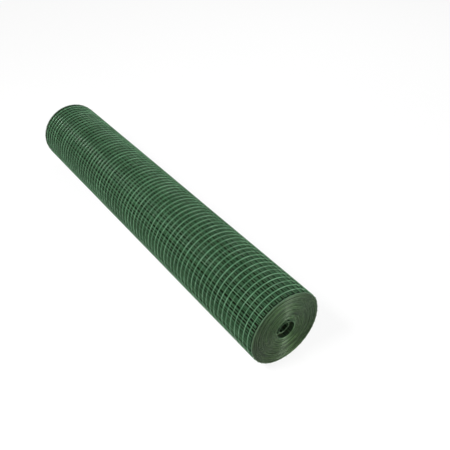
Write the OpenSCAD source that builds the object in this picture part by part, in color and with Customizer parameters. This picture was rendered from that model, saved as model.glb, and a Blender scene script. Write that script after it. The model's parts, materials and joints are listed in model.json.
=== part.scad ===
// Roll of plastic-coated welded wire mesh, lying on its side.
// The roll axis runs along X, the floor is the XY plane, and the origin is on the floor
// under the middle of the roll. All sizes are in millimetres.

/* [Mesh] */
// Spacing of the welded wires, centre to centre, both ways
mesh_pitch = 12.7; // [6:0.1:50]
// Number of mesh openings across the width of the fencing
cells_across = 71; // [20:1:150]
// Diameter of a wire with its plastic coating
wire_d = 0.9; // [0.5:0.1:3]

/* [Winding] */
// Diameter of the clear bore inside the innermost tight turn
bore_d = 41; // [20:1:120]
// Number of tight turns between the bore and the outside
turns = 32; // [4:1:60]
// How far the gaps between the turns reach in from each end of the roll
turn_gap_depth = 3; // [1:0.5:10]

/* [Hidden] */
// A turn is two wires deep: its line wires and the cross wires welded to them.
wires_per_turn = 2;
turn_pitch = wires_per_turn * wire_d;
bore_r = bore_d / 2;
wire_r = wire_d / 2;
outer_r = bore_r + turns * turn_pitch;
// The edge line wires stand half a wire beyond the outermost wire centres.
roll_width = cells_across * mesh_pitch + wire_d;
half_width = roll_width / 2;
$fn = 96;

// Centre radius of the edge line wire of one turn, counted outwards from the bore.
function turn_r(turn) = bore_r + (turn + 1) * turn_pitch - wire_r;

// Section of one edge wire: a rib with a round crest, standing on the packed turns below it.
module edge_rib() {
    translate([-wire_r, -turn_gap_depth])
        square([wire_d, turn_gap_depth - wire_r]);
    translate([0, -wire_r])
        circle(d = wire_d);
}

// Half of the section of the wound roll, from its middle to one end.
module half_section() {
    translate([bore_r, 0])
        square([outer_r - bore_r, half_width - turn_gap_depth]);
    for (turn = [0 : turns - 1])
        translate([turn_r(turn), half_width])
            edge_rib();
}

// The packed turns as one turned solid, with a rib and a gap at each end for every turn.
module mesh_roll() {
    color("#2f5c3e")
        translate([0, 0, outer_r])
            rotate([0, 90, 0])
                rotate_extrude() {
                    half_section();
                    mirror([0, 1])
                        half_section();
                }
}

mesh_roll();
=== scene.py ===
"""A roll of green plastic-coated welded wire mesh, lying on its side on a pale floor."""

import functools
import json
import logging
import math
from collections.abc import Mapping
from dataclasses import dataclass
from enum import Enum
from typing import NamedTuple

import bpy
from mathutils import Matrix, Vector


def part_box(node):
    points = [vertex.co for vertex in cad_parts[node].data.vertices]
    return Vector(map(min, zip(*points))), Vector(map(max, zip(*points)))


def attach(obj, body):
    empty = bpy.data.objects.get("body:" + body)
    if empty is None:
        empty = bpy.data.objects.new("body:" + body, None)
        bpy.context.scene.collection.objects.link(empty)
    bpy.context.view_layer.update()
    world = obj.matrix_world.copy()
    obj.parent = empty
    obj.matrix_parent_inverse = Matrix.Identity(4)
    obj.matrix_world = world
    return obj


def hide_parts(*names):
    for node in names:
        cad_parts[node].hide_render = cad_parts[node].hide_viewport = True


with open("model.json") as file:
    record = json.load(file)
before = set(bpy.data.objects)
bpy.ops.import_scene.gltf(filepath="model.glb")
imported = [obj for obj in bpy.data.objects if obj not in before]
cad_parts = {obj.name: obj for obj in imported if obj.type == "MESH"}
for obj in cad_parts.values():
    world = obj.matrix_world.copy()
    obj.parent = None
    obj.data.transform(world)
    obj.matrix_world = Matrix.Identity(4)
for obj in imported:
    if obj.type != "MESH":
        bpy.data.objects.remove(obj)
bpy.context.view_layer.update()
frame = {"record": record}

MM = 0.001
CAD_NODE = "mesh_roll"
BODY = "root"
# The attribute that gives every wire its own tone, from 0 to 1.
TONE = "wire_tone"
# The inputs of the trees that make wires, with the kinds of their sockets.
RIPPLE_SIZES = {
    "Ripple Depth": "NodeSocketFloat",
    "Ripple Length": "NodeSocketFloat",
    "Seed": "NodeSocketInt",
}
WIRE_SIZES = {
    "Wire Count": "NodeSocketInt",
    "Wire Radius": "NodeSocketFloat",
    "Wire Sides": "NodeSocketInt",
    "Coating": "NodeSocketMaterial",
    **RIPPLE_SIZES,
}
# What can feed an input of a node.
Source = bpy.types.Node | bpy.types.NodeSocket

log = logging.getLogger("mesh_roll")


class End(Enum):
    """The two ends of the roll, by the side of the frame they are on."""

    NEAR = 1
    FAR = -1


def linear(colour: str) -> tuple[float, float, float, float]:
    """Turn an sRGB hex colour into the linear values that shaders take.

    Args:
        colour: six hex digits after a hash sign.

    Returns:
        Red, green, blue and an alpha of 1.
    """
    parts = [int(colour[i : i + 2], 16) / 255 for i in (1, 3, 5)]
    red, green, blue = (p / 12.92 if p <= 0.04045 else ((p + 0.055) / 1.055) ** 2.4 for p in parts)
    return red, green, blue, 1.0


def smooth(share: float) -> float:
    """Ease a share from 0 to 1 with level ends, held at 0 and 1 outside them."""
    held = min(max(share, 0.0), 1.0)
    return held * held * (3 - 2 * held)


def add_node(
    tree: bpy.types.NodeTree,
    kind: str,
    inputs: Mapping[str | int, object] | None = None,
    **settings: object,
) -> bpy.types.Node:
    """Add one node to a tree, with its settings and its links.

    Args:
        tree: the tree that takes the node.
        kind: Blender's name for the kind of node.
        inputs: for an input's name or number, the value to set, or the socket or node to link
            from. A node gives the first of its outputs that is in use.
        settings: properties of the node.

    Returns:
        The new node.
    """
    node = tree.nodes.new(kind)
    for name, value in settings.items():
        setattr(node, name, value)
    for key, value in (inputs or {}).items():
        if isinstance(value, bpy.types.Node):
            value = next(socket for socket in value.outputs if socket.enabled)
        if isinstance(value, bpy.types.NodeSocket):
            tree.links.new(value, node.inputs[key])
        else:
            node.inputs[key].default_value = value
    return node


def new_tree(name: str, sizes: Mapping[str, str]) -> tuple[bpy.types.NodeTree, bpy.types.Node]:
    """Start a Geometry Nodes tree that takes a shape and some named sizes and gives a shape.

    Args:
        name: the tree's name.
        sizes: for each named input, the kind of its socket.

    Returns:
        The tree and its node of inputs.
    """
    tree = bpy.data.node_groups.new(name, "GeometryNodeTree")
    tree.interface.new_socket("Shape", in_out="INPUT", socket_type="NodeSocketGeometry")
    for size, kind in sizes.items():
        tree.interface.new_socket(size, in_out="INPUT", socket_type=kind)
    tree.interface.new_socket("Shape", in_out="OUTPUT", socket_type="NodeSocketGeometry")
    return tree, add_node(tree, "NodeGroupInput")


def new_material(name: str, values: Mapping[str, object]) -> tuple[bpy.types.Material, bpy.types.Node]:
    """Start a material with the usual shader.

    Args:
        name: the material's name.
        values: for the shader's sockets, the values that are the same all over the surface.

    Returns:
        The material and its shader.
    """
    made = bpy.data.materials.new(name)
    made.use_nodes = True
    shader = made.node_tree.nodes["Principled BSDF"]
    for socket, value in values.items():
        shader.inputs[socket].default_value = value
    return made, shader


def grow(
    name: str, seed: bpy.types.Mesh, tree: bpy.types.NodeTree, sizes: Mapping[str, object]
) -> bpy.types.Object:
    """Run a Geometry Nodes tree on a mesh once, and keep what it makes as a plain mesh object.

    Args:
        name: the finished piece's name.
        seed: the mesh that the tree starts from.
        tree: the tree to run.
        sizes: values for the tree's named inputs.

    Returns:
        The finished object, at the origin and with no modifier.
    """
    piece = bpy.data.objects.new(name, seed)
    bpy.context.scene.collection.objects.link(piece)
    modifier = piece.modifiers.new("wires", "NODES")
    modifier.node_group = tree
    for item in tree.interface.items_tree:
        if item.in_out == "INPUT" and item.name in sizes:
            modifier[item.identifier] = sizes[item.name]
    ready = piece.evaluated_get(bpy.context.evaluated_depsgraph_get())
    made = bpy.data.meshes.new_from_object(ready)
    piece.modifiers.remove(modifier)
    piece.data = made
    made.name = name
    made.shade_smooth()
    bpy.data.meshes.remove(seed)
    return piece


def settle(piece: bpy.types.Object) -> None:
    """Tie a finished piece to the frame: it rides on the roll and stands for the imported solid.

    Args:
        piece: the finished piece.
    """
    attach(piece, BODY)
    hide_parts(CAD_NODE)
    log.info("%s: %d faces", piece.name, len(piece.data.polygons))


class Spot(NamedTuple):
    """Where a point of a surface lies in the roll, as what a material's nodes can take.

    The place itself, its height over the floor and its distance in from the nearer end. Then the
    way to it from the middle of the roll, the part of that way across the axis, and its length.
    """

    place: bpy.types.NodeSocket
    height: bpy.types.NodeSocket
    inward: bpy.types.Node
    middle: bpy.types.Node
    across: bpy.types.Node
    out: bpy.types.Node


@dataclass(frozen=True)
class RollSize:
    """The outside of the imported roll.

    Half its width, its outer radius, which is also the height of its axis, and its bore's radius.
    """

    half_width: float
    radius: float
    bore: float

    def add_spot(self, tree: bpy.types.NodeTree) -> Spot:
        """Add the nodes that find where a point of the surface lies in the roll.

        Args:
            tree: the material's tree.

        Returns:
            The point's place.
        """
        place = add_node(tree, "ShaderNodeTexCoord").outputs["Object"]
        part = add_node(tree, "ShaderNodeSeparateXYZ", {0: place})
        along = add_node(tree, "ShaderNodeMath", {0: part.outputs["X"]}, operation="ABSOLUTE")
        inward = add_node(tree, "ShaderNodeMath", {0: self.half_width, 1: along}, operation="SUBTRACT")
        down = {0: place, 1: (0.0, 0.0, -self.radius)}
        middle = add_node(tree, "ShaderNodeVectorMath", down, operation="ADD")
        flat = {0: middle, 1: (0.0, 1.0, 1.0)}
        across = add_node(tree, "ShaderNodeVectorMath", flat, operation="MULTIPLY")
        out = add_node(tree, "ShaderNodeVectorMath", {0: across}, operation="LENGTH")
        return Spot(place, part.outputs["Z"], inward, middle, across, out)


def add_grain(tree: bpy.types.NodeTree, place: Source, size: tuple[float, float]) -> bpy.types.Node:
    """Add a noise that is as long along the roll and as wide round it as the sizes say.

    Args:
        tree: the material's tree.
        place: the point of the surface.
        size: the length of a patch along the roll and its width round it.

    Returns:
        The node of the noise.
    """
    along_roll, round_roll = (1 / length for length in size)
    stretch = {0: place, 1: (along_roll, round_roll, round_roll)}
    grain = add_node(tree, "ShaderNodeVectorMath", stretch, operation="MULTIPLY")
    return add_node(tree, "ShaderNodeTexNoise", {"Vector": grain, "Scale": 1.0})


@dataclass(frozen=True)
class PlasticCoating:
    """Green PVC, melted on to galvanised wire: smooth, satin, and a little uneven in tone."""

    roll: RollSize
    name: str = "pvc_coated_wire"
    # The darkest and the brightest tone of the plastic, the colour of its wear, and how much shows.
    deep: str = "#559768"
    fresh: str = "#7fc191"
    worn: str = "#8c9478"
    wear: float = 0.2
    # Size of the patches in the tone, along the roll and round it, the part of the noise that they
    # are stretched from, and how much of the tone they give.
    mottle: tuple[float, float] = (45 * MM, 45 * MM)
    patch_span: tuple[float, float] = (0.35, 0.65)
    patchy: float = 0.4
    # The shine: its strength, colour and roughness, and the size of the scuffs that vary the roughness
    # and by how much they do.
    ior: float = 1.53
    gloss: float = 1.0
    tint: str = "#ffffff"
    roughness: float = 0.32
    scuff: float = 4 * MM
    scuff_span: tuple[float, float] = (-0.08, 0.12)
    # Weight of the clear skin of the newest plastic.
    skin: float = 0.0
    # What is left of the colour in full shade, and how deep in the roll a wire keeps about a third.
    hidden: str = "#081009"
    shade_depth: float = 3.2 * MM
    # How much darker than its outside the sides of a wire are, where its neighbours shade it.
    side_shade: float = 0.0
    # How deep a point in the bore counts to lie, for its distance in from the end of the roll and
    # for its distance from the wall of the bore.
    bore_share: float = 0.18
    bore_shade: float = 0.06
    # Where the fencing ends on the outside, in what angle the turn below climbs out, and how far.
    lap_angle: float = math.radians(20)
    lap_reach: float = math.radians(90)
    lap_drop: float = 1.8 * MM
    # The dust of handling: its two colours, how far it reaches in from the ends, and how much of the
    # plastic it hides. Then the factor on that share on the floor side and on the upper side, which
    # makes the ends darker towards the floor.
    dusty_low: str = "#1f3019"
    dusty_high: str = "#677f57"
    dust_depth: float = 4 * MM
    dust_cover: float = 0.93
    height_cover: tuple[float, float] = (1.05, 0.82)
    # The rim and the mouth of the bore are rubbed clean: how deep, from what share of that depth
    # the rim takes dust again, and what shares of the dust stay on the rim and at the mouth.
    rim_depth: float = 1.8 * MM
    rim_start: float = 0.7
    rim_dust: float = 0.25
    mouth_dust: float = 0.6
    # Size of the streaks in the dust, and the part of the noise that they are stretched from.
    streak_length: float = 30 * MM
    streak_width: float = 2.5 * MM
    streak_span: tuple[float, float] = (0.36, 0.64)
    # Painted shade on the ends: the way to the two opposite sides that are painted darker, at what
    # share of the radius they are at their darkest, and how bright the dust is between them and on them.
    painted_shade_way: tuple[float, float, float] = (0.0, -0.95, -0.31)
    painted_shade_reach: float = 0.7
    painted_shade_span: tuple[float, float] = (1.0, 0.4)

    @functools.cached_property
    def material(self) -> bpy.types.Material:
        """Make the coating's material once.

        Returns:
            The material.
        """
        values = {
            "IOR": self.ior,
            "Specular IOR Level": self.gloss,
            "Specular Tint": linear(self.tint),
            "Coat Weight": self.skin,
            "Coat Roughness": self.roughness,
        }
        made, shader = new_material(self.name, values)
        tree = made.node_tree
        spot = self.roll.add_spot(tree)
        under = self.add_under(tree, spot)
        above = add_node(tree, "ShaderNodeMath", {0: spot.out, 1: self.roll.bore}, operation="SUBTRACT")
        inside = add_node(tree, "ShaderNodeMath", {0: above, 1: -self.bore_shade}, operation="MULTIPLY")
        over = add_node(tree, "ShaderNodeMath", {0: above, 1: inside}, operation="MAXIMUM")
        plastic = self.add_plastic(tree, spot)
        # Dust on the ends, with painted shade on two opposite sides of them.
        dust_and_shade = self.add_dust_and_shade(tree, spot)
        cover = self.add_cover(tree, spot, under, over)
        dusty = {"Factor": cover, "A": plastic, "B": dust_and_shade}
        colour = add_node(tree, "ShaderNodeMix", dusty, data_type="RGBA")
        light = self.add_light(tree, spot, under, over)
        dimmed = {"Factor": light, "A": linear(self.hidden), "B": colour}
        shaded = add_node(tree, "ShaderNodeMix", dimmed, data_type="RGBA")
        tree.links.new(shaded.outputs["Result"], shader.inputs["Base Color"])
        # Fine scuffs break up the shine.
        scuffs = add_node(tree, "ShaderNodeTexNoise", {"Vector": spot.place, "Scale": 1 / self.scuff})
        low, high = (self.roughness + change for change in self.scuff_span)
        shine = add_node(tree, "ShaderNodeMapRange", {"Value": scuffs, "To Min": low, "To Max": high})
        tree.links.new(shine.outputs["Result"], shader.inputs["Roughness"])
        return made

    def add_under(self, tree: bpy.types.NodeTree, spot: Spot) -> bpy.types.Node:
        """Add how far a point lies under the outside of the roll.

        Past the free end of the fencing the turn below is the outside.

        Args:
            tree: the material's tree.
            spot: the point's place.

        Returns:
            The node that gives the depth.
        """
        radius = self.roll.radius
        way = add_node(tree, "ShaderNodeSeparateXYZ", {0: spot.middle}).outputs
        angle = add_node(tree, "ShaderNodeMath", {0: way["Z"], 1: way["Y"]}, operation="ARCTAN2")
        climb = {
            "Value": angle,
            "From Min": self.lap_angle - self.lap_reach,
            "From Max": self.lap_angle,
            "To Min": radius,
            "To Max": radius - self.lap_drop,
        }
        climbed = add_node(tree, "ShaderNodeMapRange", climb, interpolation_type="SMOOTHSTEP")
        lapped = add_node(tree, "ShaderNodeMath", {0: angle, 1: self.lap_angle}, operation="GREATER_THAN")
        outside = add_node(tree, "ShaderNodeMix", {"Factor": lapped, "A": climbed, "B": radius})
        return add_node(tree, "ShaderNodeMath", {0: outside, 1: spot.out}, operation="SUBTRACT")

    def add_plastic(self, tree: bpy.types.NodeTree, spot: Spot) -> bpy.types.Node:
        """Add the colour of clean plastic.

        Every wire took its own share of plastic, so neighbours differ a little in tone, and soft
        patches and a little wear break each wire up.

        Args:
            tree: the material's tree.
            spot: the point's place.

        Returns:
            The node that gives the colour.
        """
        tone = add_node(tree, "ShaderNodeAttribute", attribute_name=TONE).outputs["Fac"]
        clouds = add_grain(tree, spot.place, self.mottle)
        low, high = self.patch_span
        patches = add_node(tree, "ShaderNodeMapRange", {"Value": clouds, "From Min": low, "From Max": high})
        uneven = add_node(tree, "ShaderNodeMix", {"Factor": self.patchy, "A": tone, "B": patches})
        tones = {"Factor": uneven, "A": linear(self.deep), "B": linear(self.fresh)}
        own = add_node(tree, "ShaderNodeMix", tones, data_type="RGBA")
        dull = add_node(tree, "ShaderNodeMath", {0: clouds, 1: self.wear}, operation="MULTIPLY")
        rubbed = {"Factor": dull, "A": own, "B": linear(self.worn)}
        return add_node(tree, "ShaderNodeMix", rubbed, data_type="RGBA")

    def add_dust_and_shade(self, tree: bpy.types.NodeTree, spot: Spot) -> bpy.types.Node:
        """Add the colour of the dust on the ends: olive, in streaks that follow the turns.

        It is painted darker on two opposite sides of each end, as painted shade.

        Args:
            tree: the material's tree.
            spot: the point's place.

        Returns:
            The node that gives the colour.
        """
        stretch = {0: spot.out, 1: self.streak_length / self.streak_width}
        ring = add_node(tree, "ShaderNodeMath", stretch, operation="MULTIPLY")
        grain = {"Vector": spot.place, "W": ring, "Scale": 1 / self.streak_length}
        streaks = add_node(tree, "ShaderNodeTexNoise", grain, noise_dimensions="4D")
        low, high = self.streak_span
        bands = {"Value": streaks, "From Min": low, "From Max": high}
        streaky = add_node(tree, "ShaderNodeMapRange", bands)
        # Painted shade: two opposite sides of each end are painted darker.
        toward_painted_shade = {0: spot.middle, 1: self.painted_shade_way}
        lower = add_node(tree, "ShaderNodeVectorMath", toward_painted_shade, operation="DOT_PRODUCT")
        either = add_node(tree, "ShaderNodeMath", {0: lower}, operation="ABSOLUTE")
        unshaded, painted_dark = self.painted_shade_span
        reach = self.painted_shade_reach * self.roll.radius
        sides = {"Value": either, "From Max": reach, "To Min": unshaded, "To Max": painted_dark}
        painted_shade = add_node(tree, "ShaderNodeMapRange", sides)
        pale = add_node(tree, "ShaderNodeMath", {0: streaky, 1: painted_shade}, operation="MULTIPLY")
        shades = {"Factor": pale, "A": linear(self.dusty_low), "B": linear(self.dusty_high)}
        return add_node(tree, "ShaderNodeMix", shades, data_type="RGBA")

    def add_cover(
        self, tree: bpy.types.NodeTree, spot: Spot, under: Source, over: Source
    ) -> bpy.types.Node:
        """Add how much of the plastic the dust hides.

        The ends of the roll are stood on and dragged. The share is greater towards the floor, which
        makes the ends darker there, and dust lies thinner on the rim and at the mouth of the bore.

        Args:
            tree: the material's tree.
            spot: the point's place.
            under: how far it lies under the outside of the roll.
            over: how far it lies from the wall of the bore.

        Returns:
            The node that gives the share.
        """
        floor_side, upper_side = self.height_cover
        top = 2 * self.roll.radius
        spans = (
            {"Value": spot.inward, "From Max": self.dust_depth, "To Min": self.dust_cover, "To Max": 0.0},
            # The ends are darker towards the floor and lighter on the upper side.
            {"Value": spot.height, "From Max": top, "To Min": floor_side, "To Max": upper_side},
            {"Value": over, "From Max": self.rim_depth, "To Min": self.mouth_dust},
            {
                "Value": under,
                "From Min": self.rim_start * self.rim_depth,
                "From Max": self.rim_depth,
                "To Min": self.rim_dust,
            },
        )
        shares = [add_node(tree, "ShaderNodeMapRange", span) for span in spans]
        cover = shares[0]
        for share in shares[1:]:
            cover = add_node(tree, "ShaderNodeMath", {0: cover, 1: share}, operation="MULTIPLY")
        return cover

    def add_light(
        self, tree: bpy.types.NodeTree, spot: Spot, under: Source, over: Source
    ) -> bpy.types.Node:
        """Add how much light reaches a point: deeper turns lie in the shade of the turns over them.

        Args:
            tree: the material's tree.
            spot: the point's place.
            under: how far it lies under the outside of the roll.
            over: how far it lies from the wall of the bore.

        Returns:
            The node that gives the share.
        """
        nearer = add_node(tree, "ShaderNodeMath", {0: under, 1: spot.inward}, operation="MINIMUM")
        inner = {0: spot.inward, 1: self.bore_share, 2: over}
        bored = add_node(tree, "ShaderNodeMath", inner, operation="MULTIPLY_ADD")
        depth = add_node(tree, "ShaderNodeMath", {0: nearer, 1: bored}, operation="MINIMUM")
        fall = add_node(tree, "ShaderNodeMath", {0: depth, 1: -self.shade_depth}, operation="DIVIDE")
        light = add_node(tree, "ShaderNodeMath", {0: fall}, operation="EXPONENT", use_clamp=True)
        outward = add_node(tree, "ShaderNodeVectorMath", {0: spot.across}, operation="NORMALIZE")
        normal = add_node(tree, "ShaderNodeNewGeometry").outputs["Normal"]
        facing = add_node(tree, "ShaderNodeVectorMath", {0: normal, 1: outward}, operation="DOT_PRODUCT")
        turned = {"Value": facing, "To Min": 1 - self.side_shade}
        open_side = add_node(tree, "ShaderNodeMapRange", turned)
        return add_node(tree, "ShaderNodeMath", {0: light, 1: open_side}, operation="MULTIPLY")


@dataclass(frozen=True)
class CutSteel:
    """Bare cut ends of galvanised wire: dull grey steel with a first breath of rust."""

    steel: str = "#666f58"
    rust: str = "#54452f"
    grain: float = 6 * MM
    # From what level of the noise on rust shows.
    rust_start: float = 0.4
    metallic: float = 0.4
    roughness: float = 0.5

    @functools.cached_property
    def material(self) -> bpy.types.Material:
        """Make the cut ends' material once.

        Returns:
            The material.
        """
        values = {"Metallic": self.metallic, "Roughness": self.roughness}
        made, shader = new_material("cut_galvanised_steel", values)
        tree = made.node_tree
        place = add_node(tree, "ShaderNodeTexCoord").outputs["Object"]
        spots = add_node(tree, "ShaderNodeTexNoise", {"Vector": place, "Scale": 1 / self.grain})
        rusty = add_node(tree, "ShaderNodeMapRange", {"Value": spots, "From Min": self.rust_start})
        shades = {"Factor": rusty, "A": linear(self.steel), "B": linear(self.rust)}
        colour = add_node(tree, "ShaderNodeMix", shades, data_type="RGBA")
        tree.links.new(colour.outputs["Result"], shader.inputs["Base Color"])
        return made


@dataclass(frozen=True)
class ShadedTurns:
    """The turns inside the roll, which little light reaches: near black, with a trace of green."""

    roll: RollSize
    green: str = "#08120a"
    brown: str = "#130d07"
    # Colours where some light falls: close behind the edge wires, and at the mouths of the bore.
    rim: str = "#22402a"
    mouth: str = "#7d9c7e"
    rim_depth: float = 1.0 * MM
    mouth_depth: float = 40 * MM
    # How far out from the bore its wall still counts as the bore's.
    bore_depth: float = 6 * MM
    # The wires of turns that lie deeper, as streaks: their size along the roll and round it, the
    # part of the noise that they are stretched from, and the least of them.
    grain: tuple[float, float] = (70 * MM, 1.5 * MM)
    streak_span: tuple[float, float] = (0.42, 0.62)
    streak_least: float = 0.25
    roughness: float = 0.9
    gloss: float = 0.1

    @functools.cached_property
    def material(self) -> bpy.types.Material:
        """Make the shaded turns' material once.

        Returns:
            The material.
        """
        values = {"Roughness": self.roughness, "Specular IOR Level": self.gloss}
        made, shader = new_material("pvc_coated_wire_in_shade", values)
        tree = made.node_tree
        spot = self.roll.add_spot(tree)
        wires = add_grain(tree, spot.place, self.grain)
        low, high = self.streak_span
        span = {"Value": wires, "From Min": low, "From Max": high, "To Min": self.streak_least}
        streaks = add_node(tree, "ShaderNodeMapRange", span)
        shades = {"Factor": streaks, "A": linear(self.brown), "B": linear(self.green)}
        dark = add_node(tree, "ShaderNodeMix", shades, data_type="RGBA")
        # Light comes in at the mouths of the bore and fades along it.
        fading = {"Value": spot.inward, "From Max": self.mouth_depth, "To Min": 1.0, "To Max": 0.0}
        lit = add_node(tree, "ShaderNodeMapRange", fading)
        wall = self.roll.bore + self.bore_depth
        inner = add_node(tree, "ShaderNodeMath", {0: spot.out, 1: wall}, operation="LESS_THAN")
        bright = add_node(tree, "ShaderNodeMath", {0: lit, 1: streaks}, operation="MULTIPLY")
        opened = add_node(tree, "ShaderNodeMath", {0: bright, 1: inner}, operation="MULTIPLY")
        bore = {"Factor": opened, "A": dark, "B": linear(self.mouth)}
        bored = add_node(tree, "ShaderNodeMix", bore, data_type="RGBA")
        # The last turns lie close behind the edge wires, where light still falls on them.
        crest = self.roll.radius - self.rim_depth
        outer = add_node(tree, "ShaderNodeMath", {0: spot.out, 1: crest}, operation="GREATER_THAN")
        edge = {"Factor": outer, "A": bored, "B": linear(self.rim)}
        colour = add_node(tree, "ShaderNodeMix", edge, data_type="RGBA")
        tree.links.new(colour.outputs["Result"], shader.inputs["Base Color"])
        return made


@dataclass
class Winding:
    """The line that the fencing follows, from its loose inner end to its free outer end.

    A place on the line is counted in turns: 0 where the first tight turn begins, and below 0 in
    the loose inner end. Seen from the near end the line runs outwards clockwise.
    """

    roll: RollSize
    wire: float = 0.9 * MM
    pitch: float = 12.7 * MM
    # How far a cross wire is pressed into the line wires at its welds, as a share of a wire.
    weld_depth: float = 0.2
    # Where each turn is complete: low on the far side of the roll.
    seam_angle: float = math.radians(290)
    # The share of a turn in which the fencing climbs on to the layer below it.
    climb: float = 0.25
    # The loose inner end is an oval loop that leans on the upper side of the bore: where it starts,
    # where the tight turns let it go, its lean, its middle and its half axes.
    loop_start: float = -1.35
    peel: tuple[float, float] = (-0.15, -0.5)
    loop_lean: float = math.radians(123.3)
    loop_centre: tuple[float, float] = (-1.0 * MM, 6.4 * MM)
    loop_size: tuple[float, float] = (11.6 * MM, 8.4 * MM)
    # The edges of the turns wander a little from side to side, by a sum of sways, each with its
    # share, cycles in a turn and phase. The last turns keep only a share of it.
    wander: float = 0.65 * MM
    sways: tuple[tuple[float, float, float], ...] = ((0.6, 0.37, 0.4), (0.5, 0.83, 2.1), (0.25, 2.3, 0.0))
    calm_turns: float = 3.0
    calm_share: float = 0.25
    # How far apart two places are that show which way the line runs.
    slope_step: float = 0.002

    @property
    def layer(self) -> float:
        """Height of one layer of fencing, a line wire under a cross wire."""
        return 2 * self.wire

    @property
    def turns(self) -> int:
        """Number of tight turns."""
        return round((self.roll.radius - self.roll.bore) / self.layer)

    @property
    def end(self) -> float:
        """Where the fencing ends, just before it would climb on to one more layer."""
        return self.turns - self.climb

    @property
    def edge(self) -> float:
        """Distance of the edge line wires from the middle of the roll."""
        return self.roll.half_width - self.wire / 2

    @property
    def cross_lift(self) -> float:
        """How far the cross wires lie outside the line wires, centre to centre."""
        return self.wire * (1 - self.weld_depth)

    def tight(self, turn: float) -> tuple[float, float]:
        """Place a line wire of the tight turns.

        Args:
            turn: the place on the line.

        Returns:
            Y and Z from the roll's axis.
        """
        whole = math.floor(turn)
        level = max(whole + smooth((turn - whole - 1 + self.climb) / self.climb), 0)
        radius = self.roll.bore + (level + 1) * self.layer - self.wire / 2 - self.cross_lift
        angle = self.seam_angle - math.tau * turn
        return radius * math.cos(angle), radius * math.sin(angle)

    def loop(self, turn: float) -> tuple[float, float]:
        """Place a line wire of the loose oval loop inside the bore.

        Args:
            turn: the place on the line.

        Returns:
            Y and Z from the roll's axis.
        """
        angle = self.seam_angle - math.tau * turn - self.loop_lean + math.pi / 2
        across = self.loop_centre[0] + self.loop_size[0] * math.cos(angle)
        up = self.loop_centre[1] + self.loop_size[1] * math.sin(angle)
        sin, cos = math.sin(self.loop_lean), math.cos(self.loop_lean)
        return across * sin + up * cos, up * sin - across * cos

    def slack(self, turn: float) -> float:
        """Say how far the line has left the tight turns for the loop, from 0 to 1."""
        return smooth((turn - self.peel[0]) / (self.peel[1] - self.peel[0]))

    def line(self, turn: float) -> tuple[float, float]:
        """Place a line wire anywhere on the winding.

        Args:
            turn: the place on the line.

        Returns:
            Y and Z from the roll's axis.
        """
        share = self.slack(turn)
        wound, loose = self.tight(turn), self.loop(turn)
        return tuple(w + (n - w) * share for w, n in zip(wound, loose))

    def drift(self, turn: float) -> float:
        """Say how far the fencing has wandered along the roll's axis.

        Args:
            turn: the place on the line.

        Returns:
            Distance along X. The last turns lie straighter than the inner ones.
        """
        sway = sum(share * math.sin(math.tau * rate * turn + phase) for share, rate, phase in self.sways)
        calm = smooth((self.end - turn) / self.calm_turns)
        return self.wander * sway * (self.calm_share + (1 - self.calm_share) * calm)

    def point(self, turn: float, lift: float) -> Vector:
        """Place a wire's centre, lifted outwards from the line wires.

        Args:
            turn: the place on the line.
            lift: distance outwards, square to the fencing.

        Returns:
            The point in the row frame, for a wire in the middle of the roll.
        """
        y, z = self.line(turn)
        behind, ahead = self.line(turn - self.slope_step), self.line(turn + self.slope_step)
        along = Vector((ahead[0] - behind[0], ahead[1] - behind[1])).normalized()
        return Vector((self.drift(turn), y - along.y * lift, z + along.x * lift + self.roll.radius))

    def points(self, first: float, last: float, steps: int, lift: float = 0.0) -> list[Vector]:
        """List the points of a stretch of the winding.

        Args:
            first: where the stretch starts, in turns.
            last: where it ends, in turns.
            steps: points in each turn.
            lift: distance outwards from the line wires.

        Returns:
            The points in the row frame.
        """
        count = round((last - first) * steps)
        return [self.point(first + (last - first) * i / count, lift) for i in range(count + 1)]


@functools.cache
def ripple_tree() -> bpy.types.NodeTree:
    """Build the group of nodes that makes wound wires slightly uneven.

    Returns:
        The group.
    """
    tree, given = new_tree("uneven wires", RIPPLE_SIZES)
    get = given.outputs
    grain = add_node(tree, "ShaderNodeMath", {0: 1.0, 1: get["Ripple Length"]}, operation="DIVIDE")
    place = add_node(tree, "GeometryNodeInputPosition")
    waves = {"Vector": place, "W": get["Seed"], "Scale": grain, "Detail": 1.0}
    noise = add_node(tree, "ShaderNodeTexNoise", waves, noise_dimensions="4D")
    # The noise runs from 0 to 1, so taking off a half lets a wire bend both ways.
    level = {0: noise.outputs["Color"], 1: (0.5, 0.5, 0.5)}
    middle = add_node(tree, "ShaderNodeVectorMath", level, operation="SUBTRACT")
    size = {0: middle, "Scale": get["Ripple Depth"]}
    shift = add_node(tree, "ShaderNodeVectorMath", size, operation="SCALE")
    moved = add_node(tree, "GeometryNodeSetPosition", {"Geometry": get["Shape"], "Offset": shift})
    add_node(tree, "NodeGroupOutput", {"Shape": moved})
    return tree


def add_wire(tree: bpy.types.NodeTree, get: bpy.types.NodeOutputs, path: Source) -> bpy.types.Node:
    """Add a round wire that follows a path.

    Args:
        tree: the tree of wires.
        get: the tree's inputs.
        path: what gives the path, as a curve.

    Returns:
        The node that gives the wire.
    """
    size = {"Resolution": get["Wire Sides"], "Radius": get["Wire Radius"]}
    section = add_node(tree, "GeometryNodeCurvePrimitiveCircle", size)
    sweep = {"Curve": path, "Profile Curve": section, "Fill Caps": True}
    return add_node(tree, "GeometryNodeCurveToMesh", sweep)


def add_spread(tree: bpy.types.NodeTree, get: bpy.types.NodeOutputs, name: str) -> bpy.types.NodeSocket:
    """Add a random vector for each wire, between a named input and its opposite.

    Args:
        tree: the tree of wires.
        get: the tree's inputs.
        name: the input's name.

    Returns:
        The socket that gives the vector.
    """
    back = add_node(tree, "ShaderNodeVectorMath", {0: get[name], "Scale": -1.0}, operation="SCALE")
    span = {"Min": back, "Max": get[name], "Seed": get["Seed"]}
    return add_node(tree, "FunctionNodeRandomValue", span, data_type="FLOAT_VECTOR").outputs[0]


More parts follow.
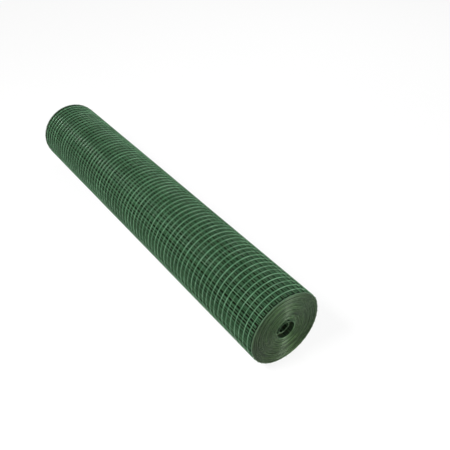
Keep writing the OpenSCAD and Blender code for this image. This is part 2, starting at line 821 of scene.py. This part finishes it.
def add_dressing(tree: bpy.types.NodeTree, get: bpy.types.NodeOutputs, wires: Source) -> None:
    """End a tree of wires: a tone for each wire, plain meshes, a slight ripple, and the finishes.

    Args:
        tree: the tree to end.
        get: the tree's inputs.
        wires: what gives the wires as instances.
    """
    tone = add_node(tree, "FunctionNodeRandomValue", {"Seed": get["Seed"]}).outputs["Value"]
    named = {"Geometry": wires, "Name": TONE, "Value": tone}
    toned = add_node(tree, "GeometryNodeStoreNamedAttribute", named, domain="INSTANCE")
    real = add_node(tree, "GeometryNodeRealizeInstances", {"Geometry": toned})
    sizes = {size: get[size] for size in RIPPLE_SIZES}
    uneven = add_node(tree, "GeometryNodeGroup", {"Shape": real, **sizes}, node_tree=ripple_tree())
    coated = add_node(tree, "GeometryNodeSetMaterial", {"Geometry": uneven, "Material": get["Coating"]})
    if "Cut Ends" in get:
        # A face that looks nearly along the roll is the cut end of a cross wire.
        nearly_along = 0.9
        normal = add_node(tree, "GeometryNodeInputNormal").outputs["Normal"]
        facing = add_node(tree, "ShaderNodeSeparateXYZ", {0: normal})
        ends = add_node(tree, "ShaderNodeMath", {0: facing.outputs["X"]}, operation="ABSOLUTE")
        looks = {"A": ends, "B": nearly_along}
        cut = add_node(tree, "FunctionNodeCompare", looks, operation="GREATER_THAN")
        bare = {"Geometry": coated, "Selection": cut, "Material": get["Cut Ends"]}
        coated = add_node(tree, "GeometryNodeSetMaterial", bare)
    add_node(tree, "NodeGroupOutput", {"Shape": coated})


@functools.cache
def line_wire_tree() -> bpy.types.NodeTree:
    """Build the tree that winds line wires: one wire along the path, repeated across the roll.

    Returns:
        The tree.
    """
    row_sizes = {name: "NodeSocketVector" for name in ("First Wire", "Wire Step", "Tilt")}
    tree, given = new_tree("line wires", WIRE_SIZES | row_sizes)
    get = given.outputs
    path = add_node(tree, "GeometryNodeMeshToCurve", {"Mesh": get["Shape"]})
    wire = add_wire(tree, get, path)
    row = {"Count": get["Wire Count"], "Start Location": get["First Wire"], "Offset": get["Wire Step"]}
    places = add_node(tree, "GeometryNodeMeshLine", row)
    copies = {"Points": places, "Instance": wire, "Rotation": add_spread(tree, get, "Tilt")}
    wires = add_node(tree, "GeometryNodeInstanceOnPoints", copies)
    add_dressing(tree, get, wires)
    return tree


@functools.cache
def cross_wire_tree() -> bpy.types.NodeTree:
    """Build the tree that lays cross wires: straight wires, evenly spaced along the path.

    Returns:
        The tree.
    """
    wire_sizes = {name: "NodeSocketVector" for name in ("Wire Start", "Wire End", "Slip")}
    other_sizes = {"Wire Steps": "NodeSocketInt", "Cut Ends": "NodeSocketMaterial"}
    tree, given = new_tree("cross wires", WIRE_SIZES | wire_sizes | other_sizes)
    get = given.outputs
    path = add_node(tree, "GeometryNodeMeshToCurve", {"Mesh": get["Shape"]})
    spaced = {"Curve": path, "Count": get["Wire Count"]}
    places = add_node(tree, "GeometryNodeResampleCurve", spaced)
    ends = {"Start": get["Wire Start"], "End": get["Wire End"]}
    axis = add_node(tree, "GeometryNodeCurvePrimitiveLine", ends)
    bent = add_node(tree, "GeometryNodeResampleCurve", {"Curve": axis, "Count": get["Wire Steps"]})
    wire = add_wire(tree, get, bent)
    wires = add_node(tree, "GeometryNodeInstanceOnPoints", {"Points": places, "Instance": wire})
    slid = {"Instances": wires, "Translation": add_spread(tree, get, "Slip")}
    placed = add_node(tree, "GeometryNodeTranslateInstances", slid)
    add_dressing(tree, get, placed)
    return tree


@dataclass(kw_only=True)
class Wires:
    """A stretch of the fencing's wires, all of one kind and with one finish."""

    name: str
    winding: Winding
    coating: PlasticCoating
    first_turn: float
    last_turn: float
    sides: int = 6
    # How far the wires bend from their path, and how long their bends are.
    ripple_depth: float = 0.7 * MM
    ripple_length: float = 80 * MM
    seed: int = 3

    def make(self, points: list[Vector], tree: bpy.types.NodeTree, sizes: Mapping[str, object]) -> None:
        """Grow the wires on a path and tie them to the frame.

        Args:
            points: the points of the path.
            tree: the tree that makes the wires.
            sizes: values for the inputs that only this kind of wire has, and the number of wires.
        """
        path = bpy.data.meshes.new("winding")
        path.from_pydata(points, [(i, i + 1) for i in range(len(points) - 1)], [])
        shared = {
            "Wire Radius": self.winding.wire / 2,
            "Wire Sides": self.sides,
            "Coating": self.coating.material,
            "Ripple Depth": self.ripple_depth,
            "Ripple Length": self.ripple_length,
            "Seed": self.seed,
        }
        settle(grow(self.name, path, tree, {**shared, **sizes}))


@dataclass(kw_only=True)
class LineWires(Wires):
    """A stretch of the line wires, which run round the roll inside the cross wires."""

    # Points in a turn.
    steps: int
    # The first wire, counted from the far edge, and how many there are from it on.
    first_wire: int
    wire_count: int
    # How far a wire may lean along the roll.
    tilt: float = math.radians(0.12)

    def build(self) -> None:
        """Wind the wires and tie them to the frame."""
        winding = self.winding
        start = self.first_wire * winding.pitch - winding.edge
        sizes = {
            "Wire Count": self.wire_count,
            "First Wire": (start, 0.0, 0.0),
            "Wire Step": (winding.pitch, 0.0, 0.0),
            "Tilt": (0.0, self.tilt, self.tilt),
        }
        points = winding.points(self.first_turn, self.last_turn, self.steps)
        self.make(points, line_wire_tree(), sizes)


@dataclass(kw_only=True)
class CrossWires(Wires):
    """A stretch of the cross wires, which run along the roll outside the line wires."""

    cut: CutSteel
    # Where the wires start and end along the roll, and the points along a wire.
    reach: tuple[float, float]
    steps: int
    # How many wires there are, or 0 for one at every pitch.
    count: int = 0
    # How far the wires lie under their own place in the fencing.
    sink: float = 0.0
    # How far a wire may lie from its place, along the roll and across it.
    slip: float = 0.5 * MM
    stray: float = 0.0
    # Points in a turn of the path that the wires are laid out on.
    path_steps: int = 120

    def build(self) -> None:
        """Lay the wires and tie them to the frame."""
        winding = self.winding
        lift = winding.cross_lift - self.sink
        points = winding.points(self.first_turn, self.last_turn, self.path_steps, lift)
        length = sum((b - a).length for a, b in zip(points, points[1:]))
        start, end = self.reach
        sizes = {
            "Wire Count": self.count or round(length / winding.pitch) + 1,
            "Wire Start": (start, 0.0, 0.0),
            "Wire End": (end, 0.0, 0.0),
            "Wire Steps": self.steps,
            "Slip": (self.slip, self.stray, self.stray),
            "Cut Ends": self.cut.material,
        }
        self.make(points, cross_wire_tree(), sizes)


@dataclass
class PackedTurns:
    """The hidden turns between the outer and the inner ones, as one sleeve with a flange at each end."""

    name: str
    winding: Winding
    shade: ShadedTurns
    # Radii of the sleeve, inside and outside, and how far in from the ends of the roll its faces lie.
    inner: float
    outer: float
    gap_depth: float = 3.0 * MM
    # The lip behind the edge wire of the last turns: how deep it lies under the outside and in
    # from the end, how far it goes in, and how thick it is.
    lip_under: float = 1.3 * MM
    lip_gap: float = 1.3 * MM
    lip_height: float = 4.0 * MM
    lip_width: float = 2.7 * MM
    sides: int = 96

    def build(self) -> None:
        """Turn the sleeve about the roll's axis and tie it to the frame."""
        roll = self.winding.roll
        face = roll.half_width - self.gap_depth
        lip = roll.half_width - self.lip_gap
        waist = lip - self.lip_width
        crest = roll.radius - self.lip_under
        half = [
            (face, self.inner),
            (face, crest - self.lip_height),
            (lip, crest - self.lip_height),
            (lip, crest),
            (waist, crest),
            (waist, self.outer),
        ]
        profile = [(-x, radius) for x, radius in half] + half[::-1]
        points = []
        for side in range(self.sides):
            angle = math.tau * side / self.sides
            for x, radius in profile:
                y, z = radius * math.cos(angle), radius * math.sin(angle)
                points.append((x, y, z + roll.radius))
        count = len(profile)
        faces = []
        for side in range(self.sides):
            here, there = side * count, (side + 1) % self.sides * count
            for i in range(count):
                j = (i + 1) % count
                faces.append((here + j, here + i, there + i, there + j))
        mesh = bpy.data.meshes.new(self.name)
        mesh.from_pydata(points, [], faces)
        mesh.materials.append(self.shade.material)
        piece = bpy.data.objects.new(self.name, mesh)
        bpy.context.scene.collection.objects.link(piece)
        settle(piece)


@dataclass(frozen=True)
class WireFinishes:
    """The coatings of the wires.

    Those of the outer line wires, the outer cross wires or rungs, the cross wires below them, the
    line wires below them, the wires on the ends, and the wires in the bore.
    """

    outer: PlasticCoating
    rungs: PlasticCoating
    under: PlasticCoating
    deep: PlasticCoating
    ends: PlasticCoating
    bore: PlasticCoating

    @classmethod
    def on(cls, roll: RollSize) -> "WireFinishes":
        """Choose the coatings for a roll.

        Args:
            roll: the outside of the roll.

        Returns:
            The coatings.
        """
        # The plastic's own tones, written paler as painted highlight on the outermost wires.
        outer = PlasticCoating(
            roll,
            deep="#3c8353",
            fresh="#a8f8bc",
            roughness=0.24,
            shade_depth=5 * MM,
            skin=1.0,
            side_shade=0.35,
            mottle=(6 * MM, 25 * MM),
            patchy=0.6,
        )
        rungs = PlasticCoating(
            roll,
            name="pvc_coated_wire_rungs",
            deep="#4b8155",
            fresh="#81b98a",
            gloss=0.05,
            roughness=0.45,
            shade_depth=0.6 * MM,
            side_shade=0.5,
            mottle=(20 * MM, 5 * MM),
        )
        under = PlasticCoating(
            roll,
            name="pvc_coated_wire_under",
            deep="#49945d",
            fresh="#a1f3b0",
            gloss=0.05,
            roughness=0.45,
            shade_depth=1.2 * MM,
            side_shade=0.7,
            mottle=(14 * MM, 1.5 * MM),
            patchy=0.7,
        )
        # The line wires below the outer turn are written near black, as painted shade from the turn over
        # them.
        deep = PlasticCoating(
            roll, name="pvc_coated_wire_deep", deep="#16301d", fresh="#1f3d27", gloss=0.2, roughness=0.5
        )
        ends = PlasticCoating(
            roll,
            name="pvc_coated_wire_dusty",
            deep="#4d7858",
            fresh="#6c9776",
            dusty_low="#121904",
            dusty_high="#5a7c48",
            gloss=0.36,
            tint="#e8ffe2",
            roughness=0.29,
            shade_depth=1.8 * MM,
        )
        bore = PlasticCoating(
            roll,
            name="pvc_coated_wire_bore",
            deep="#4a8a5c",
            fresh="#69ad7c",
            hidden="#55432e",
            gloss=0.2,
            roughness=0.5,
            shade_depth=4 * MM,
        )
        return cls(outer, rungs, under, deep, ends, bore)


@dataclass
class MeshRoll:
    """The whole roll: its outer turns, its ends, its bore and the turns hidden between them."""

    winding: Winding
    finishes: WireFinishes
    shade: ShadedTurns
    cut: CutSteel
    # Turns with all their wires below the outer one, and round the bore.
    under_turns: int = 1
    bore_turns: int = 3
    # Cross wires in the outer turn and, the same distance apart, in the shorter turns below it.
    wires_round: int = 38
    under_round: int = 37
    # The outer cross wire, counted from the start of its turn, behind which the wires below have the
    # places that follow. Away from it they slowly drift from those, as there are fewer of them.
    meeting: int = 27
    # The turns below bunch up behind the openings of the outer turn: where their cross wires fall
    # in one opening, as a share of it, and how far they lie under the outer cross wires.
    under_wires: tuple[tuple[float, float], ...] = (
        (0.3, 1.5 * MM),
        (0.385, 2.0 * MM),
        (0.47, 1.7 * MM),
        (0.555, 2.1 * MM),
        (0.64, 1.6 * MM),
        (0.0, 2.7 * MM),
    )
    # They lie loosely: how far each is from its place, and how deep and long its bends are.
    under_stray: float = 0.5 * MM
    under_ripple: tuple[float, float] = (2.0 * MM, 40 * MM)
    # How deep the hidden turns lie under the outside, and how far they reach under the bore's wires.
    core_depth: float = 4.4 * MM
    core_overlap: float = 0.3 * MM
    # How far cut ends stand out past the end of the roll, and how long the stubs on the ends are.
    overhang: float = 0.4 * MM
    stub: float = 5.0 * MM
    # Points in a turn of line wire and sides of the wire, the finer the more it shows.
    outer_detail: tuple[int, int] = (90, 6)
    under_detail: tuple[int, int] = (64, 5)
    bore_detail: tuple[int, int] = (36, 5)
    edge_detail: tuple[int, int] = (84, 7)
    # Points along a cross wire: in the outer turn, in the bent rows below, in the bore, in a stub.
    rung_steps: int = 25
    under_steps: int = 60
    bore_steps: int = 13
    stub_steps: int = 2

    def build(self) -> None:
        """Build every piece of the roll."""
        self.build_line_wires()
        self.build_cross_wires()
        self.build_core()

    def build_line_wires(self) -> None:
        """Wind the line wires, with all of them near the outside and the bore, and one at each edge."""
        winding, finishes = self.winding, self.finishes
        across = round(2 * winding.edge / winding.pitch) + 1
        end, start = winding.end, winding.loop_start
        outer = end - 1
        under = outer - self.under_turns
        between = (1, across - 2)
        stretches = [
            ("outer_line_wires", finishes.outer, (outer, end), self.outer_detail, between),
            ("under_line_wires", finishes.deep, (under, outer), self.under_detail, between),
            ("bore_line_wires", finishes.bore, (start, self.bore_turns), self.bore_detail, between),
        ]
        for side in End:
            edge = (across - 1 if side is End.NEAR else 0, 1)
            name = f"edge_line_wires_{side.name.lower()}"
            stretches.append((name, finishes.ends, (start, end), self.edge_detail, edge))
        for name, coating, (first_turn, last_turn), (steps, sides), (first_wire, wire_count) in stretches:
            LineWires(
                name=name,
                winding=winding,
                coating=coating,
                first_turn=first_turn,
                last_turn=last_turn,
                steps=steps,
                sides=sides,
                first_wire=first_wire,
                wire_count=wire_count,
            ).build()

    def build_cross_wires(self) -> None:
        """Lay the cross wires, whole near the outside and the bore, and as stubs at each end."""
        winding, finishes = self.winding, self.finishes
        reach = winding.roll.half_width + self.overhang
        depth, length = self.under_ripple
        loose = {"stray": self.under_stray, "ripple_depth": depth, "ripple_length": length}
        for row, (phase, sink) in enumerate([(0.0, 0.0), *self.under_wires]):
            below = sink > 0
            count = self.under_round if below else self.wires_round
            meeting = self.meeting - self.wires_round + count
            first = winding.end - 1 + (self.meeting + phase) / self.wires_round - meeting / count
            CrossWires(
                name=f"row_{row}_cross_wires",
                winding=winding,
                coating=finishes.under if below else finishes.rungs,
                cut=self.cut,
                first_turn=first,
                last_turn=first + (count - 1) / count,
                reach=(-reach, reach),
                steps=self.under_steps if below else self.rung_steps,
                count=count,
                sink=sink,
                seed=row,
                **(loose if below else {}),
            ).build()
        CrossWires(
            name="bore_cross_wires",
            winding=winding,
            coating=finishes.bore,
            cut=self.cut,
            first_turn=winding.loop_start,
            last_turn=self.bore_turns,
            reach=(-reach, reach),
            steps=self.bore_steps,
        ).build()
        for end in End:
            CrossWires(
                name=f"stub_cross_wires_{end.name.lower()}",
                winding=winding,
                coating=finishes.ends,
                cut=self.cut,
                first_turn=self.bore_turns,
                last_turn=winding.end - 1 - self.under_turns,
                reach=(reach - self.stub, reach) if end is End.NEAR else (-reach, self.stub - reach),
                steps=self.stub_steps,
            ).build()

    def build_core(self) -> None:
        """Fill the middle of the roll with its hidden turns."""
        winding = self.winding
        inner = winding.roll.bore + self.bore_turns * winding.layer - self.core_overlap
        outer = winding.roll.radius - self.core_depth
        PackedTurns("packed_turns", winding, self.shade, inner, outer).build()


@dataclass(frozen=True)
class PaleFloor:
    """A white studio floor that stays near white to the eye and keeps a soft shadow."""

    # Its colour to the eye and in reflections, and the colour of the light that it throws back.
    seen: str = "#ffffff"
    paper: str = "#b0b0b0"
    # How much of what the eye sees is plain white: the rest takes light and shadow.
    lift: float = 0.88

    @functools.cached_property
    def material(self) -> bpy.types.Material:
        """Make the floor's material once.

        Returns:
            The material.
        """
        made = bpy.data.materials.new("white_studio_paper")
        made.use_nodes = True
        tree = made.node_tree
        tree.nodes.clear()
        paper = add_node(tree, "ShaderNodeBsdfDiffuse", {"Color": linear(self.paper)})
        white = add_node(tree, "ShaderNodeBsdfDiffuse", {"Color": linear(self.seen)})
        glow = add_node(tree, "ShaderNodeEmission", {"Strength": 1.0})
        pale = add_node(tree, "ShaderNodeMixShader", {0: self.lift, 1: white, 2: glow})
        rays = add_node(tree, "ShaderNodeLightPath").outputs
        seen = rays["Is Camera Ray"]
        for kind in ("Is Glossy Ray", "Is Transmission Ray"):
            seen = add_node(tree, "ShaderNodeMath", {0: seen, 1: rays[kind]}, operation="MAXIMUM")
        both = add_node(tree, "ShaderNodeMixShader", {0: seen, 1: paper, 2: pale})
        add_node(tree, "ShaderNodeOutputMaterial", {"Surface": both})
        return made


@dataclass(frozen=True)
class SoftBox:
    """A square studio light that faces the roll."""

    name: str
    direction: tuple[float, float, float]
    distance: float
    size: float
    power: float

    def build(self, aim: Vector) -> None:
        """Hang the light and turn it to the roll.

        Args:
            aim: the point that the light faces.
        """
        data = bpy.data.lights.new(self.name, "AREA")
        data.shape = "SQUARE"
        data.size = self.size
        data.energy = self.power
        lamp = bpy.data.objects.new(self.name, data)
        bpy.context.scene.collection.objects.link(lamp)
        back = Vector(self.direction).normalized()
        lamp.location = aim + back * self.distance
        lamp.rotation_mode = "QUATERNION"
        lamp.rotation_quaternion = back.to_track_quat("Z", "Y")


@dataclass
class Studio:
    """The floor, the lights and the camera round the roll."""

    floor: PaleFloor
    lights: tuple[SoftBox, ...]
    floor_size: float = 12.0
    sky: str = "#ffffff"
    sky_strength: float = 0.3
    # The camera: the point it looks at, where it stands from there, and its lens and sensor in mm.
    aim: tuple[float, float, float] = (185.6 * MM, 57.1 * MM, 122.1 * MM)
    azimuth: float = math.radians(54.321)
    elevation: float = math.radians(37.113)
    distance: float = 1262.6 * MM
    lens: float = 48.874
    sensor: float = 36.0

    def build(self) -> None:
        """Set up the floor, the lights, the sky and the camera."""
        bpy.context.scene.view_settings.view_transform = "Standard"
        self.build_floor()
        aim = Vector(self.aim)
        for light in self.lights:
            light.build(aim)
        world = bpy.data.worlds.new("studio")
        world.use_nodes = True
        sky = world.node_tree.nodes["Background"]
        sky.inputs["Color"].default_value = linear(self.sky)
        sky.inputs["Strength"].default_value = self.sky_strength
        bpy.context.scene.world = world
        self.build_camera(aim)

    def build_floor(self) -> None:
        """Lay the floor under the roll."""
        half = self.floor_size / 2
        corners = [(-half, -half, 0), (half, -half, 0), (half, half, 0), (-half, half, 0)]
        mesh = bpy.data.meshes.new("floor")
        mesh.from_pydata(corners, [], [(0, 1, 2, 3)])
        mesh.materials.append(self.floor.material)
        floor = bpy.data.objects.new("floor", mesh)
        bpy.context.scene.collection.objects.link(floor)

    def build_camera(self, aim: Vector) -> None:
        """Set up the camera at the photograph's viewing angle.

        Args:
            aim: the point that the camera looks at.
        """
        level = math.cos(self.elevation)
        east, south = math.sin(self.azimuth) * level, math.cos(self.azimuth) * level
        back = Vector((east, -south, math.sin(self.elevation)))
        data = bpy.data.cameras.new("camera")
        data.lens = self.lens
        data.sensor_width = self.sensor
        camera = bpy.data.objects.new("camera", data)
        bpy.context.scene.collection.objects.link(camera)
        camera.location = aim + back * self.distance
        camera.rotation_mode = "QUATERNION"
        camera.rotation_quaternion = back.to_track_quat("Z", "Y")
        bpy.context.scene.camera = camera


def roll_size() -> RollSize:
    """Take the roll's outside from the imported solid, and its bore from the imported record.

    Returns:
        The outside of the roll.
    """
    low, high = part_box(CAD_NODE)
    bore = next(m["dims"]["r_mm"] for m in frame["record"]["mounts"] if m["name"] == "bore")
    return RollSize((high.x - low.x) / 2, (high.z - low.z) / 2, bore * MM)


def main() -> None:
    """Build the roll and the studio round it."""
    logging.basicConfig(level=logging.INFO, format="%(name)s: %(message)s")
    roll = roll_size()
    MeshRoll(Winding(roll), WireFinishes.on(roll), ShadedTurns(roll), CutSteel()).build()
    lights = (
        SoftBox("key_light", direction=(-0.02, -0.66, 0.75), distance=2.0, size=0.5, power=46.0),
        SoftBox("end_light", direction=(0.905, 0.42, 0.05), distance=2.2, size=0.5, power=54.0),
        SoftBox("side_light", direction=(-0.5, 0.6, 0.6), distance=2.0, size=0.8, power=9.0),
    )
    Studio(PaleFloor(), lights).build()


if __name__ == "__main__":
    main()
